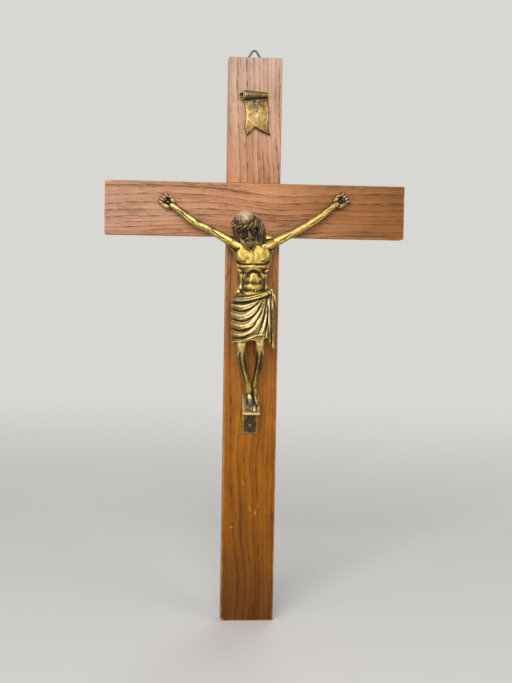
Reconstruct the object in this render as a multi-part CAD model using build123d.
from build123d import *
import os
from math import atan2, cos, radians, sin, sqrt

# A wall crucifix: two oak beams joined by a flush cross lap, a cast brass figure with separately
# cast arms, a sloping foot rest, a scroll plate and a strap hanger with a triangular ring.
# Millimetres. The front faces -Y, +Z is up. Every piece is drawn on the bench, where X = 0 is the
# upright's centre line, Y = 0 the beams' front face and Z = 0 the middle of the crossing, and is
# then moved so that the origin is the point of the ring that bears on the wall nail.

# Oak beams
UPRIGHT_LENGTH = 425.0
UPRIGHT_WIDTH = 40.0
CROSSBAR_LENGTH = 225.0
CROSSBAR_WIDTH = 40.0
CROSSBAR_OFFSET = 1.9
BEAM_THICKNESS = 15.0
CROSSING_BELOW_TOP = 113.0
LAP_DEPTH = 7.5
LAP_SEAM_GAP = 0.1
ARRIS_RADIUS = 0.7

# Two countersunk screws hold the lap from the back
LAP_SCREW_SPACING = 22.0
LAP_SCREW_SHANK_RADIUS = 1.5
LAP_SCREW_HEAD_RADIUS = 3.0
LAP_SCREW_TIP_COVER = 2.5
LAP_SCREW_TIP_RADIUS = 0.2

# All shanks, pins and nails in their holes
FIT_CLEARANCE = 0.04

# Screw slot, shared by all screw heads
SLOT_WIDTH = 0.8
SLOT_DEPTH = 0.8

# Round-headed brass nails of the hands, the foot rest and the scroll
HAND_NAIL_HEAD_RADIUS = 1.2
HAND_NAIL_SHANK_RADIUS = 0.6
PLATE_NAIL_HEAD_RADIUS = 1.4
PLATE_NAIL_SHANK_RADIUS = 0.7
NAIL_DEPTH_IN_WOOD = 8.0
NAIL_POINT_LENGTH = 1.6
NAIL_TIP_RADIUS = 0.1
NAIL_HEAD_RISE = 0.6

# Torso of the figure: height, middle in X and Y, half width and half depth
TORSO = [
    (-21.5, -0.6, -9.6, 8.5, 4.6),
    (-27.0, -0.6, -10.6, 13.2, 7.6),
    (-34.0, -0.6, -11.6, 13.3, 9.3),
    (-42.0, -0.4, -11.8, 12.4, 9.0),
    (-51.0, 0.1, -11.0, 10.2, 7.4),
    (-57.0, 0.0, -11.0, 10.9, 7.4),
    (-64.0, -0.2, -11.6, 13.2, 8.6),
    (-72.0, -0.6, -12.0, 12.6, 9.0),
]

# Loincloth: its folds lean up to the right. Height, middle in X and Y, half width, half depth
CLOTH_LEAN = 13.0
CLOTH_FOLDS = [
    (-62.6, -0.5, -11.8, 13.4, 8.8),
    (-64.8, -0.5, -12.0, 15.0, 10.2),
    (-67.4, -0.5, -12.2, 14.2, 9.6),
    (-72.0, -0.7, -12.8, 15.6, 11.2),
    (-76.0, -0.7, -13.0, 14.8, 10.6),
    (-81.0, -0.8, -13.6, 15.4, 11.6),
    (-85.0, -0.9, -14.0, 14.4, 11.0),
    (-90.5, -1.2, -14.8, 14.6, 11.4),
    (-95.0, -2.6, -15.4, 12.4, 10.0),
]
CLOTH_KNOT = (12.8, -15.0, -61.0)
CLOTH_KNOT_RADIUS = 3.2
DRAPE = [
    ((12.8, -14.0, -60.5), 2.0, 4.0),
    ((13.6, -14.2, -74.0), 2.4, 6.0),
    ((13.9, -13.6, -88.0), 2.6, 6.6),
    ((14.8, -12.8, -101.5), 1.8, 5.0),
]

# Thighs: middle of each section and its radius, from hip to knee
LEFT_THIGH = [
    ((-6.6, -12.5, -78.0), 6.4),
    ((-8.0, -18.6, -93.0), 5.0),
    ((-8.6, -20.0, -100.5), 4.0),
]
RIGHT_THIGH = [
    ((6.0, -12.5, -78.0), 6.2),
    ((5.2, -17.8, -93.0), 4.8),
    ((4.9, -19.2, -100.5), 3.8),
]
# Calf and shin: share of the way from knee to ankle, offset from that line along X and Y, radius
LEFT_SHIN = [
    (0.308, -1.6, -1.23, 3.2),
    (0.738, -0.8, -0.51, 2.5),
]
RIGHT_SHIN = [
    (0.281, 1.12, -0.6, 3.0),
    (0.672, 0.71, 0.2, 2.3),
]
# Ankle and heel: middle, with its height counted from the top of the foot rest, and radius
LEFT_ANKLE = [
    ((-2.1, -8.2, 4.5), 2.3),
    ((-1.8, -6.4, -1.0), 2.4),
]
RIGHT_ANKLE = [
    ((3.4, -6.4, 5.0), 2.1),
    ((3.4, -4.6, -0.5), 2.0),
]

# Head and hair: middle, half sizes and lean; the head bows forward and leans to the left
HEAD_BOW = 22.0
HEAD_LEAN = -14.0
SKULL_MIDDLE = (-7.0, -16.8, -11.6)
SKULL_RADIUS = 9.8
FACE_MIDDLE = (-4.8, -19.4, -19.4)
FACE_RADIUS = 6.6
FACE_HALF_HEIGHT = 9.2
BEARD = [
    ((-4.6, -20.6, -22.0), 4.6),
    ((-3.8, -21.6, -26.5), 3.8),
    ((-3.2, -21.8, -30.0), 1.6),
]
CROWN_MIDDLE = (-6.6, -17.6, -11.0)
CROWN_RADIUS = 9.4
CROWN_CORD_RADIUS = 1.7
CROWN_CROSSING = 6.0
CROWN_LEAN = -6.0
NECK = [
    ((-0.8, -10.4, -26.0), 6.0),
    ((-3.6, -13.6, -17.0), 5.2),
]
RIGHT_LOCKS = [
    ((0.6, -15.6, -8.6), 5.2),
    ((4.2, -14.8, -19.0), 4.4),
    ((5.6, -14.2, -27.0), 3.0),
    ((5.8, -14.6, -31.0), 1.6),
]
LEFT_LOCKS = [
    ((-11.6, -13.4, -11.0), 4.8),
    ((-11.0, -12.4, -20.0), 3.2),
    ((-10.6, -12.0, -27.5), 1.8),
]

# Arms from the shoulder's joint face to the wrist
LEFT_ARM = [
    ((-16.4, -9.6, -24.4), 3.5),
    ((-22.0, -9.3, -21.4), 3.0),
    ((-30.2, -8.4, -16.9), 2.5),
    ((-40.3, -6.6, -12.0), 2.5),
    ((-45.5, -5.6, -8.8), 2.6),
    ((-51.0, -4.4, -4.8), 2.3),
    ((-57.8, -2.6, 0.2), 2.0),
]
RIGHT_ARM = [
    ((15.2, -9.6, -24.2), 3.6),
    ((20.2, -9.3, -21.6), 3.2),
    ((26.4, -8.6, -18.4), 2.7),
    ((37.5, -6.8, -12.3), 2.7),
    ((43.5, -5.8, -8.6), 2.8),
    ((50.3, -4.6, -4.0), 2.5),
    ((59.2, -2.6, 3.4), 2.1),
]
SHOULDER_CORE = (8.0, -10.4, -27.5)
SHOULDER_CORE_RADIUS = 6.0
SHOULDER_RIM = 0.3
SHOULDER_SEAM = 0.05
SHOULDER_PIN_RADIUS = 0.9
SHOULDER_PIN_IN_ARM = 3.0
SHOULDER_PIN_IN_BODY = 3.5

# Hands: place of the nail in X and Z, and the angle at which the hand points up
LEFT_HAND_NAIL = (-63.8, 4.4)
RIGHT_HAND_NAIL = (65.2, 7.8)
HAND_RISE = 35.0
# Palm from inside the wrist: distance past the nail, distance out of the wood, half width and
# half thickness; the wood's face cuts the back of the hand flat
PALM = [
    (-9.0, 2.7, 1.6, 1.7),
    (-5.0, 2.0, 2.2, 1.9),
    (0.0, 1.5, 3.9, 1.8),
    (3.0, 1.2, 3.9, 1.5),
]
NAIL_SEAT_IN_PALM = 2.6
NAIL_HEAD_ROOM = 0.3
# Fingers and thumb: distance past the nail, distance out of the wood and radius
FINGER_COUNT = 4
FINGER_PITCH = 1.9
FINGER = [
    (1.8, 1.2, 0.95),
    (4.4, 1.4, 0.95),
    (5.9, 2.2, 0.95),
    (6.3, 4.0, 0.7),
]
THUMB_SIDE = 3.0
THUMB = [
    (-2.2, 1.8, 1.2),
    (0.6, 2.8, 1.1),
    (2.6, 4.0, 0.8),
]

# Foot rest: a cast wedge that slopes down from the wood, with a nailing tab below it
LEDGE_TOP_BELOW_CROSSING = 137.5
LEDGE_REACH = 12.0
LEDGE_DROP = 14.0
LEDGE_WIDTH = 12.8
LEDGE_LIP = 1.4
TAB_LENGTH = 15.0
TAB_THICKNESS = 1.6
TAB_BOTTOM_WIDTH = 10.4
TAB_NAIL_ABOVE_END = 6.0
FOOT_PEG_RADIUS = 0.9
FOOT_PEG_IN_LEDGE = 2.4
FOOT_PEG_IN_FOOT = 2.2
FOOT_PEG_DOWN_SLOPE = 10.0

# Feet on the slope: distance down the slope, sideways place, half width, height over the slope.
# Each starts a little below the slope, which then cuts its sole flat
SOLE_CUT = 0.6
FRONT_FOOT = [
    (1.6, -1.8, 2.4, 6.6),
    (6.0, -1.6, 3.0, 6.2),
    (11.0, -1.0, 3.3, 4.2),
    (16.4, -0.4, 3.1, 2.4),
]
BACK_FOOT = [
    (2.2, 3.4, 2.1, 4.4),
    (6.5, 3.6, 2.3, 4.0),
    (11.0, 4.0, 2.2, 3.0),
    (15.0, 4.4, 1.9, 1.9),
]

# Scroll plate: a swallow-tailed sheet hanging from a tapered roll
SCROLL_ROLL_HEIGHT = 85.8
SCROLL_ROLL_LEFT = -13.0
SCROLL_ROLL_RIGHT = 9.4
SCROLL_ROLL_RADIUS_LEFT = 2.6
SCROLL_ROLL_RADIUS_RIGHT = 1.7
SCROLL_SHEET_THICKNESS = 1.6
SCROLL_TOP_LEFT = -8.8
SCROLL_TOP_RIGHT = 9.6
SCROLL_TIP_LEFT = (-5.8, 54.6)
SCROLL_TIP_RIGHT = (11.8, 55.2)
SCROLL_NOTCH = (1.6, 60.4)
SCROLL_SIDE_BOW = 1.2
SCROLL_NAIL_BELOW_ROLL = 5.2

# Strap hanger on the back: a folded steel strap, a wire ring and a round-headed screw
STRAP_THICKNESS = 0.8
STRAP_WIDTH = 10.0
STRAP_LENGTH = 20.0
STRAP_NECK_LENGTH = 3.8
STRAP_SCREW_BELOW_EYE = 13.5
RING_WIRE_RADIUS = 0.8
RING_EYE_CLEARANCE = 0.12
RING_HALF_BASE = 9.0
RING_HEIGHT = 14.0
RING_CORNER_RADIUS = 2.0
RING_END_GAP = 0.3
RING_EYE_BELOW_TOP = 4.0
HANGER_SCREW_SHANK_RADIUS = 1.4
HANGER_SCREW_HEAD_RADIUS = 2.8
HANGER_SCREW_HEAD_RISE = 1.8
HANGER_SCREW_DEPTH = 9.0

# Levels that several pieces share
TOP_Z = CROSSING_BELOW_TOP
BOTTOM_Z = CROSSING_BELOW_TOP - UPRIGHT_LENGTH
BACK_Y = BEAM_THICKNESS
LEDGE_TOP_Z = -LEDGE_TOP_BELOW_CROSSING
LEDGE_FRONT_Z = LEDGE_TOP_Z - LEDGE_DROP
LEDGE_BOTTOM_Z = LEDGE_FRONT_Z - LEDGE_LIP
TAB_BOTTOM_Z = LEDGE_BOTTOM_Z - TAB_LENGTH
EYE_INNER_RADIUS = RING_WIRE_RADIUS + RING_EYE_CLEARANCE
EYE_OUTER_RADIUS = EYE_INNER_RADIUS + STRAP_THICKNESS
EYE_Y = BACK_Y + EYE_OUTER_RADIUS
EYE_Z = TOP_Z - RING_EYE_BELOW_TOP
STRAP_SCREW_Z = EYE_Z - STRAP_SCREW_BELOW_EYE
SCROLL_NAIL = (0.0, SCROLL_ROLL_HEIGHT - SCROLL_NAIL_BELOW_ROLL)
FOOT_NAIL = (0.0, TAB_BOTTOM_Z + TAB_NAIL_ABOVE_END)

# The point of the ring that bears on the wall nail: the inside of the rounded apex
APEX_HALF_ANGLE = atan2(RING_HALF_BASE, RING_HEIGHT)
APEX_CENTRE_Z = EYE_Z + RING_HEIGHT - RING_CORNER_RADIUS / sin(APEX_HALF_ANGLE)
HANGING_POINT = (0.0, EYE_Y, APEX_CENTRE_Z + RING_CORNER_RADIUS - RING_WIRE_RADIUS)

# Directions on the sloping ledge: down the slope, and out of it
SLOPE_LENGTH = sqrt(LEDGE_REACH ** 2 + LEDGE_DROP ** 2)
DOWN_SLOPE = Vector(0, -LEDGE_REACH, -LEDGE_DROP) / SLOPE_LENGTH
OUT_OF_SLOPE = Vector(0, -LEDGE_DROP, LEDGE_REACH) / SLOPE_LENGTH
SLOPE_START = Vector(0, 0, LEDGE_TOP_Z)


def rod(start, direction, length, radius):
    """A round bar from a point along a direction."""
    plane = Plane(origin=Vector(start), z_dir=Vector(direction))
    return plane * Cylinder(radius, length, align=(Align.CENTER, Align.CENTER, Align.MIN))


def along_y(x, z, start, end, radius):
    """A round bar parallel to Y, from one depth to another."""
    return rod((x, start, z), (0, 1, 0), end - start, radius)


def limb(sections, steady=(0, 1, 0)):
    """A smooth solid through circles, each square to the line of its neighbours."""
    middles = [Vector(middle) for middle, radius in sections]
    faces = []
    for index, (middle, radius) in enumerate(sections):
        before = middles[max(index - 1, 0)]
        after = middles[min(index + 1, len(middles) - 1)]
        plane = Plane(origin=Vector(middle), x_dir=Vector(steady), z_dir=after - before)
        faces.append(plane * Circle(radius))
    return loft(faces)


def egg(middle, radius, half_height, lean=(0, 0, 0)):
    """A round egg, upright before it leans by angles about X, Y and Z."""
    half = EllipticalCenterArc((0, 0), radius, half_height, start_angle=-90, arc_size=180)
    outline = make_face([half, Line(half @ 1, half @ 0)])
    return Location(middle, lean) * revolve(Plane.XZ * outline, Axis.Z)


def join(masses):
    """All masses as one solid, joined one after another."""
    whole = masses[0]
    for mass in masses[1:]:
        whole = whole + mass
    return whole


def oak_block(width, height, middle_x, middle_z):
    """A planed board with its arrises eased, front face on Y = 0."""
    board = Location((middle_x, BEAM_THICKNESS / 2, middle_z)) * Box(width, BEAM_THICKNESS, height)
    return fillet(board.edges(), ARRIS_RADIUS)


def lap_screw_places():
    """Middles of the two lap screws, one each side of the centre line."""
    return [("lap_screw_left", -LAP_SCREW_SPACING / 2), ("lap_screw_right", LAP_SCREW_SPACING / 2)]


def lap_screw(x, clearance=0.0):
    """A slotted countersunk wood screw driven from the back, or its hole when given a clearance."""
    head_depth = LAP_SCREW_HEAD_RADIUS - LAP_SCREW_SHANK_RADIUS
    tip_y = LAP_SCREW_TIP_COVER
    shank_radius = LAP_SCREW_SHANK_RADIUS + clearance
    head_radius = LAP_SCREW_HEAD_RADIUS + clearance
    shoulder_y = BACK_Y - head_depth
    shank = along_y(x, 0, tip_y + LAP_SCREW_SHANK_RADIUS, BACK_Y, shank_radius)
    point_plane = Plane(origin=(x, tip_y - clearance, 0), z_dir=(0, 1, 0))
    point = point_plane * Cone(
        LAP_SCREW_TIP_RADIUS + clearance, shank_radius, LAP_SCREW_SHANK_RADIUS + clearance,
        align=(Align.CENTER, Align.CENTER, Align.MIN),
    )
    head_plane = Plane(origin=(x, shoulder_y, 0), z_dir=(0, 1, 0))
    head = head_plane * Cone(
        shank_radius, head_radius, head_depth, align=(Align.CENTER, Align.CENTER, Align.MIN)
    )
    screw = shank + point + head
    if clearance == 0.0:
        slot = Location((x, BACK_Y - SLOT_DEPTH / 2, 0)) * Box(
            2 * LAP_SCREW_HEAD_RADIUS, SLOT_DEPTH, SLOT_WIDTH
        )
        screw = screw - slot
    return screw


def nail(x, z, seat_y, head_radius, shank_radius):
    """A round-headed nail: its head seats at a depth and its point ends in the wood."""
    point_y = NAIL_DEPTH_IN_WOOD - NAIL_POINT_LENGTH
    shank = along_y(x, z, seat_y, point_y, shank_radius)
    point = Plane(origin=(x, point_y, z), z_dir=(0, 1, 0)) * Cone(
        shank_radius, NAIL_TIP_RADIUS, NAIL_POINT_LENGTH, align=(Align.CENTER, Align.CENTER, Align.MIN)
    )
    sphere_radius = (head_radius ** 2 + NAIL_HEAD_RISE ** 2) / (2 * NAIL_HEAD_RISE)
    dome = Location((x, seat_y - NAIL_HEAD_RISE + sphere_radius, z)) * Sphere(sphere_radius)
    front_half = Location((x, seat_y - sphere_radius, z)) * Box(
        2 * sphere_radius, 2 * sphere_radius, 2 * sphere_radius
    )
    return (dome & front_half) + shank + point


def nail_hole(x, z, start_y, shank_radius):
    """The hole that a nail's shank and point fill, from a depth to the end of the point."""
    return along_y(x, z, start_y, NAIL_DEPTH_IN_WOOD, shank_radius + FIT_CLEARANCE)


def upright_beam():
    """The upright board: a lap notch in its front and holes for everything fixed to it."""
    board = oak_block(UPRIGHT_WIDTH, UPRIGHT_LENGTH, 0, TOP_Z - UPRIGHT_LENGTH / 2)
    notch = Location((0, LAP_DEPTH / 2, 0)) * Box(
        UPRIGHT_WIDTH, LAP_DEPTH, CROSSBAR_WIDTH + 2 * LAP_SEAM_GAP
    )
    board = board - notch
    for name, x in lap_screw_places():
        board = board - lap_screw(x, FIT_CLEARANCE)
    for x, z in (SCROLL_NAIL, FOOT_NAIL):
        board = board - nail_hole(x, z, 0, PLATE_NAIL_SHANK_RADIUS)
    return board - along_y(
        0, STRAP_SCREW_Z, BACK_Y - HANGER_SCREW_DEPTH, BACK_Y, HANGER_SCREW_SHANK_RADIUS + FIT_CLEARANCE
    )


def cross_beam():
    """The crossbar: a lap notch in its back and holes for the lap screws and the hand nails."""
    board = oak_block(CROSSBAR_LENGTH, CROSSBAR_WIDTH, CROSSBAR_OFFSET, 0)
    notch_depth = BEAM_THICKNESS - LAP_DEPTH
    notch = Location((0, BACK_Y - notch_depth / 2, 0)) * Box(
        UPRIGHT_WIDTH + 2 * LAP_SEAM_GAP, notch_depth, CROSSBAR_WIDTH
    )
    board = board - notch
    for name, x in lap_screw_places():
        board = board - lap_screw(x, FIT_CLEARANCE)
    for x, z in (LEFT_HAND_NAIL, RIGHT_HAND_NAIL):
        board = board - nail_hole(x, z, 0, HAND_NAIL_SHANK_RADIUS)
    return board


def arm_axis(arm):
    """The joint face's middle and the direction in which the arm leaves it."""
    start = Vector(arm[0][0])
    return start, (Vector(arm[1][0]) - start).normalized()


def shoulder_stump(arm):
    """The body's own shoulder, which ends in the flat face that the arm is pinned to."""
    start, direction = arm_axis(arm)
    side = 1 if start.X > 0 else -1
    core = (side * SHOULDER_CORE[0], SHOULDER_CORE[1], SHOULDER_CORE[2])
    core_face = Plane(origin=core, x_dir=(0, 1, 0), z_dir=direction) * Circle(SHOULDER_CORE_RADIUS)
    joint_plane = Plane(origin=start - direction * SHOULDER_SEAM, x_dir=(0, 1, 0), z_dir=direction)
    joint_face = joint_plane * Circle(arm[0][1] + SHOULDER_RIM)
    return loft([core_face, joint_face])


def shoulder_pin(arm, clearance=0.0):
    """The dowel pin of a shoulder, or its hole when given a clearance."""
    start, direction = arm_axis(arm)
    length = SHOULDER_PIN_IN_ARM + SHOULDER_PIN_IN_BODY + 2 * clearance
    tail = start - direction * (SHOULDER_PIN_IN_BODY + clearance)
    return rod(tail, direction, length, SHOULDER_PIN_RADIUS + clearance)


def hand(nail_place, side):
    """The palm, four curled fingers and the thumb; the back of the hand is cut flat later."""
    turn = radians(HAND_RISE)
    ahead = Vector(side * cos(turn), 0, sin(turn))
    across = Vector(-side * sin(turn), 0, cos(turn))
    nail_point = Vector(nail_place[0], 0, nail_place[1])
    palm_faces = []
    for along, out, half_width, half_thickness in PALM:
        middle = nail_point + ahead * along - Vector(0, out, 0)
        plane = Plane(origin=middle, x_dir=across, z_dir=ahead)
        palm_faces.append(plane * Ellipse(half_width, half_thickness))
    masses = [loft(palm_faces)]
    for index in range(FINGER_COUNT):
        place = nail_point + across * (index - (FINGER_COUNT - 1) / 2) * FINGER_PITCH
        masses.append(digit(FINGER, place, ahead, across))
    masses.append(digit(THUMB, nail_point + across * THUMB_SIDE, ahead, across))
    return masses


def digit(sections, place, ahead, across):
    """A finger or thumb that runs along the hand and curls forward."""
    joints = []
    for along, out, radius in sections:
        joints.append((place + ahead * along - Vector(0, out, 0), radius))
    return limb(joints, across)


def arm_casting(arm, nail_place):
    """A cast arm with its hand, drilled for the shoulder pin and the hand nail."""
    side = 1 if nail_place[0] > 0 else -1
    x, z = nail_place
    casting = join([limb(arm)] + hand(nail_place, side))
    reach = abs(arm[-1][0][0] - x) * 4
    casting = casting - Location((x, BEAM_THICKNESS / 2, z)) * Box(reach, BEAM_THICKNESS, reach)
    casting = casting - nail_hole(x, z, -NAIL_SEAT_IN_PALM, HAND_NAIL_SHANK_RADIUS)
    room_radius = HAND_NAIL_HEAD_RADIUS + NAIL_HEAD_ROOM
    casting = casting - along_y(x, z, -3 * NAIL_SEAT_IN_PALM, -NAIL_SEAT_IN_PALM, room_radius)
    return casting - shoulder_pin(arm, FIT_CLEARANCE)


def torso():
    """Chest, waist and hips as one loft through ovals."""
    faces = []
    for height, middle_x, middle_y, half_width, half_depth in TORSO:
        plane = Plane(origin=(middle_x, middle_y, height))
        faces.append(plane * Ellipse(half_width, half_depth))
    return loft(faces)


def loincloth():
    """The cloth round the hips, whose folds swell and narrow, with its knot and hanging end."""
    faces = []
    for height, middle_x, middle_y, half_width, half_depth in CLOTH_FOLDS:
        place = Location((middle_x, middle_y, height), (0, -CLOTH_LEAN, 0))
        faces.append(place * Ellipse(half_width, half_depth))
    drape_faces = []
    for middle, half_width, half_depth in DRAPE:
        drape_faces.append(Plane(origin=middle) * Ellipse(half_width, half_depth))
    knot = Location(CLOTH_KNOT) * Sphere(CLOTH_KNOT_RADIUS)
    return [loft(faces, ruled=True), loft(drape_faces), knot]


def leg(thigh, shin, ankle):
    """A leg from the hip to the heel, which stands on the foot rest."""
    ledge_top = Vector(0, 0, LEDGE_TOP_Z)
    knee = Vector(thigh[-1][0])
    to_ankle = Vector(ankle[0][0]) + ledge_top - knee
    sections = list(thigh)
    for share, offset_x, offset_y, radius in shin:
        sections.append((knee + to_ankle * share + Vector(offset_x, offset_y, 0), radius))
    for middle, radius in ankle:
        sections.append((Vector(middle) + ledge_top, radius))
    return limb(sections, (1, 0, 0))


def foot(sections):
    """A foot that starts a little below the slope."""
    faces = []
    for down, sideways, half_width, height in sections:
        middle = SLOPE_START + DOWN_SLOPE * down + OUT_OF_SLOPE * (height - SOLE_CUT) / 2
        middle = middle + Vector(sideways, 0, 0)
        plane = Plane(origin=middle, x_dir=(1, 0, 0), z_dir=DOWN_SLOPE)
        faces.append(plane * Ellipse(half_width, (height + SOLE_CUT) / 2))
    return loft(faces)


def foot_peg(clearance=0.0):
    """The pin between the ledge and the front foot, or its hole when given a clearance."""
    sideways = FRONT_FOOT[1][1]
    tail = SLOPE_START + DOWN_SLOPE * FOOT_PEG_DOWN_SLOPE + Vector(sideways, 0, 0)
    tail = tail - OUT_OF_SLOPE * (FOOT_PEG_IN_LEDGE + clearance)
    length = FOOT_PEG_IN_LEDGE + FOOT_PEG_IN_FOOT + 2 * clearance
    return rod(tail, OUT_OF_SLOPE, length, FOOT_PEG_RADIUS + clearance)


def under_the_slope():
    """The space below the ledge's sloping face, as wide as both feet."""
    plane = Plane(origin=SLOPE_START, x_dir=(1, 0, 0), z_dir=OUT_OF_SLOPE)
    depth = SLOPE_LENGTH
    return plane * Location((0, 0, -depth / 2)) * Box(4 * LEDGE_WIDTH, 3 * SLOPE_LENGTH, depth)


def head():
    """The bowed head with its hair, beard, neck and the twisted crown, as plain masses."""
    masses = [Location(SKULL_MIDDLE) * Sphere(SKULL_RADIUS)]
    for crossing in (-CROWN_CROSSING, CROWN_CROSSING):
        band = Location(CROWN_MIDDLE, (HEAD_BOW, HEAD_LEAN + CROWN_LEAN + crossing, 0))
        masses.append(band * Torus(CROWN_RADIUS, CROWN_CORD_RADIUS))
    masses.append(egg(FACE_MIDDLE, FACE_RADIUS, FACE_HALF_HEIGHT, (HEAD_BOW, HEAD_LEAN, 0)))
    masses += [limb(BEARD, (1, 0, 0)), limb(NECK, (1, 0, 0))]
    return masses + [limb(RIGHT_LOCKS), limb(LEFT_LOCKS)]


def corpus():
    """The cast body: head, torso, loincloth, legs and feet, with its two shoulder faces."""
    masses = [torso()] + loincloth()
    masses += [shoulder_stump(LEFT_ARM), shoulder_stump(RIGHT_ARM)]
    masses += [leg(LEFT_THIGH, LEFT_SHIN, LEFT_ANKLE), leg(RIGHT_THIGH, RIGHT_SHIN, RIGHT_ANKLE)]
    masses += [foot(FRONT_FOOT), foot(BACK_FOOT), join(head())]
    body = join(masses) - under_the_slope() - foot_peg(FIT_CLEARANCE)
    for arm in (LEFT_ARM, RIGHT_ARM):
        body = body - shoulder_pin(arm, FIT_CLEARANCE)
    return body


def foot_rest():
    """The wedge under the feet and its tapering tab, in one casting."""
    outline = Polyline(
        (0, LEDGE_TOP_Z),
        (-LEDGE_REACH, LEDGE_FRONT_Z),
        (-LEDGE_REACH, LEDGE_BOTTOM_Z),
        (0, LEDGE_BOTTOM_Z),
        close=True,
    )
    wedge = extrude(Plane.YZ * make_face(outline), LEDGE_WIDTH / 2, both=True)
    tab_outline = Polyline(
        (-LEDGE_WIDTH / 2, LEDGE_BOTTOM_Z + LEDGE_LIP),
        (LEDGE_WIDTH / 2, LEDGE_BOTTOM_Z + LEDGE_LIP),
        (LEDGE_WIDTH / 2, LEDGE_BOTTOM_Z),
        (TAB_BOTTOM_WIDTH / 2, TAB_BOTTOM_Z),
        (-TAB_BOTTOM_WIDTH / 2, TAB_BOTTOM_Z),
        (-LEDGE_WIDTH / 2, LEDGE_BOTTOM_Z),
        close=True,
    )
    tab = extrude(Plane.XZ * make_face(tab_outline), TAB_THICKNESS)
    hole = nail_hole(FOOT_NAIL[0], FOOT_NAIL[1], -2 * TAB_THICKNESS, PLATE_NAIL_SHANK_RADIUS)
    return wedge + tab - hole - foot_peg(FIT_CLEARANCE)


def scroll_plate():
    """The scroll: a swallow-tailed sheet under a tapered roll, drilled for its nail."""
    top = SCROLL_ROLL_HEIGHT
    left_middle = (Vector(SCROLL_TOP_LEFT, top) + Vector(SCROLL_TIP_LEFT)) / 2 + Vector(SCROLL_SIDE_BOW, 0)
    right_middle = (Vector(SCROLL_TOP_RIGHT, top) + Vector(SCROLL_TIP_RIGHT)) / 2 - Vector(SCROLL_SIDE_BOW, 0)
    outline = [
        Line((SCROLL_TOP_LEFT, top), (SCROLL_TOP_RIGHT, top)),
        ThreePointArc((SCROLL_TOP_RIGHT, top), right_middle, SCROLL_TIP_RIGHT),
        Line(SCROLL_TIP_RIGHT, SCROLL_NOTCH),
        Line(SCROLL_NOTCH, SCROLL_TIP_LEFT),
        ThreePointArc(SCROLL_TIP_LEFT, left_middle, (SCROLL_TOP_LEFT, top)),
    ]
    sheet = extrude(Plane.XZ * make_face(outline), SCROLL_SHEET_THICKNESS)
    roll_length = SCROLL_ROLL_RIGHT - SCROLL_ROLL_LEFT
    taper = atan2(SCROLL_ROLL_RADIUS_LEFT - SCROLL_ROLL_RADIUS_RIGHT, roll_length)
    roll_plane = Plane(
        origin=(SCROLL_ROLL_LEFT, -SCROLL_ROLL_RADIUS_LEFT, top),
        x_dir=(0, 0, 1),
        z_dir=(cos(taper), sin(taper), 0),
    )
    roll = roll_plane * Cone(
        SCROLL_ROLL_RADIUS_LEFT,
        SCROLL_ROLL_RADIUS_RIGHT,
        roll_length,
        align=(Align.CENTER, Align.CENTER, Align.MIN),
    )
    behind = Location((0, BEAM_THICKNESS / 2, top)) * Box(3 * roll_length, BEAM_THICKNESS, 3 * roll_length)
    hole = nail_hole(SCROLL_NAIL[0], SCROLL_NAIL[1], -2 * SCROLL_SHEET_THICKNESS, PLATE_NAIL_SHANK_RADIUS)
    return sheet + roll - behind - hole


def hanger_strap():
    """The strap, folded round the ring's base and pressed flat against itself below the eye."""
    leaves_y = BACK_Y + 2 * STRAP_THICKNESS
    eye_face = Location((EYE_Y, EYE_Z)) * Circle(EYE_OUTER_RADIUS)
    neck_z = EYE_Z - STRAP_NECK_LENGTH
    neck_face = make_face(
        Polyline(
            (BACK_Y, EYE_Z),
            (BACK_Y + 2 * EYE_OUTER_RADIUS, EYE_Z),
            (leaves_y, neck_z),
            (BACK_Y, neck_z),
            close=True,
        )
    )
    leaf_face = make_face(
        Polyline(
            (BACK_Y, neck_z),
            (leaves_y, neck_z),
            (leaves_y, EYE_Z - STRAP_LENGTH),
            (BACK_Y, EYE_Z - STRAP_LENGTH),
            close=True,
        )
    )
    bore = Location((EYE_Y, EYE_Z)) * Circle(EYE_INNER_RADIUS)
    profile = eye_face + neck_face + leaf_face - bore
    strap = extrude(Plane.YZ * profile, STRAP_WIDTH / 2, both=True)
    hole = along_y(
        0, STRAP_SCREW_Z, BACK_Y - STRAP_THICKNESS, leaves_y + STRAP_THICKNESS,
        HANGER_SCREW_SHANK_RADIUS + FIT_CLEARANCE,
    )
    return strap - hole


def hanger_ring():
    """The triangular wire ring; its two ends meet in the strap's eye."""
    path = FilletPolyline(
        (RING_END_GAP / 2, EYE_Y, EYE_Z),
        (RING_HALF_BASE, EYE_Y, EYE_Z),
        (0, EYE_Y, EYE_Z + RING_HEIGHT),
        (-RING_HALF_BASE, EYE_Y, EYE_Z),
        (-RING_END_GAP / 2, EYE_Y, EYE_Z),
        radius=RING_CORNER_RADIUS,
    )
    section = Plane(origin=path @ 0, z_dir=path % 0) * Circle(RING_WIRE_RADIUS)
    return sweep(section, path=path)


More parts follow.
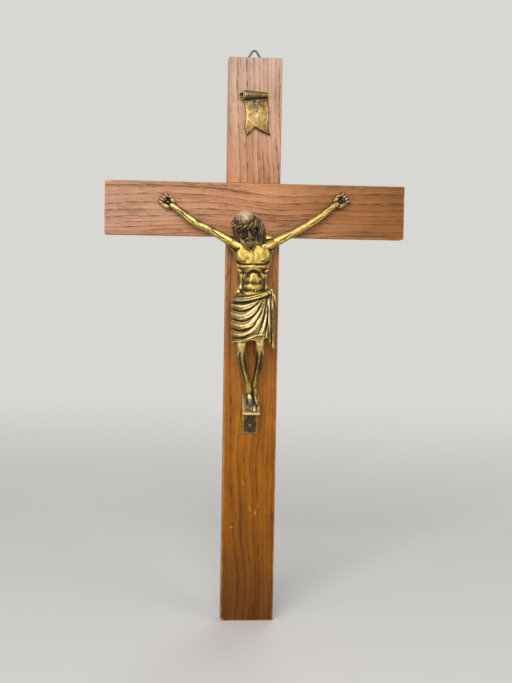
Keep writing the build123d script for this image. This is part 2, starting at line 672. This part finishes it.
def hanger_screw():
    """The slotted round-headed screw that holds the strap."""
    seat_y = BACK_Y + 2 * STRAP_THICKNESS
    tip_y = BACK_Y - HANGER_SCREW_DEPTH
    shank = along_y(0, STRAP_SCREW_Z, tip_y, seat_y, HANGER_SCREW_SHANK_RADIUS)
    rise = HANGER_SCREW_HEAD_RISE
    sphere_radius = (HANGER_SCREW_HEAD_RADIUS ** 2 + rise ** 2) / (2 * rise)
    dome = Location((0, seat_y + rise - sphere_radius, STRAP_SCREW_Z)) * Sphere(sphere_radius)
    back_half = Location((0, seat_y + sphere_radius, STRAP_SCREW_Z)) * Box(
        2 * sphere_radius, 2 * sphere_radius, 2 * sphere_radius
    )
    slot = Location((0, seat_y + rise - SLOT_DEPTH / 2, STRAP_SCREW_Z)) * Box(
        2 * HANGER_SCREW_HEAD_RADIUS, SLOT_DEPTH, SLOT_WIDTH
    )
    return (dome & back_half) + shank - slot


pieces = {
    "upright_beam": upright_beam(),
    "cross_beam": cross_beam(),
    "corpus": corpus(),
    "left_arm": arm_casting(LEFT_ARM, LEFT_HAND_NAIL),
    "right_arm": arm_casting(RIGHT_ARM, RIGHT_HAND_NAIL),
    "left_shoulder_pin": shoulder_pin(LEFT_ARM),
    "right_shoulder_pin": shoulder_pin(RIGHT_ARM),
    "foot_rest": foot_rest(),
    "foot_peg": foot_peg(),
    "scroll_plate": scroll_plate(),
    "hanger_strap": hanger_strap(),
    "hanger_ring": hanger_ring(),
    "hanger_screw": hanger_screw(),
}
for name, x in lap_screw_places():
    pieces[name] = lap_screw(x)
for name, place in (("left_hand_nail", LEFT_HAND_NAIL), ("right_hand_nail", RIGHT_HAND_NAIL)):
    pieces[name] = nail(*place, -NAIL_SEAT_IN_PALM, HAND_NAIL_HEAD_RADIUS, HAND_NAIL_SHANK_RADIUS)
for name, place, seat in (
    ("scroll_nail", SCROLL_NAIL, -SCROLL_SHEET_THICKNESS),
    ("foot_rest_nail", FOOT_NAIL, -TAB_THICKNESS),
):
    pieces[name] = nail(*place, seat, PLATE_NAIL_HEAD_RADIUS, PLATE_NAIL_SHANK_RADIUS)

os.makedirs("parts", exist_ok=True)
to_hanging_point = Location(Vector(HANGING_POINT) * -1)
for name, piece in pieces.items():
    export_step(to_hanging_point * piece, f"parts/{name}.step")
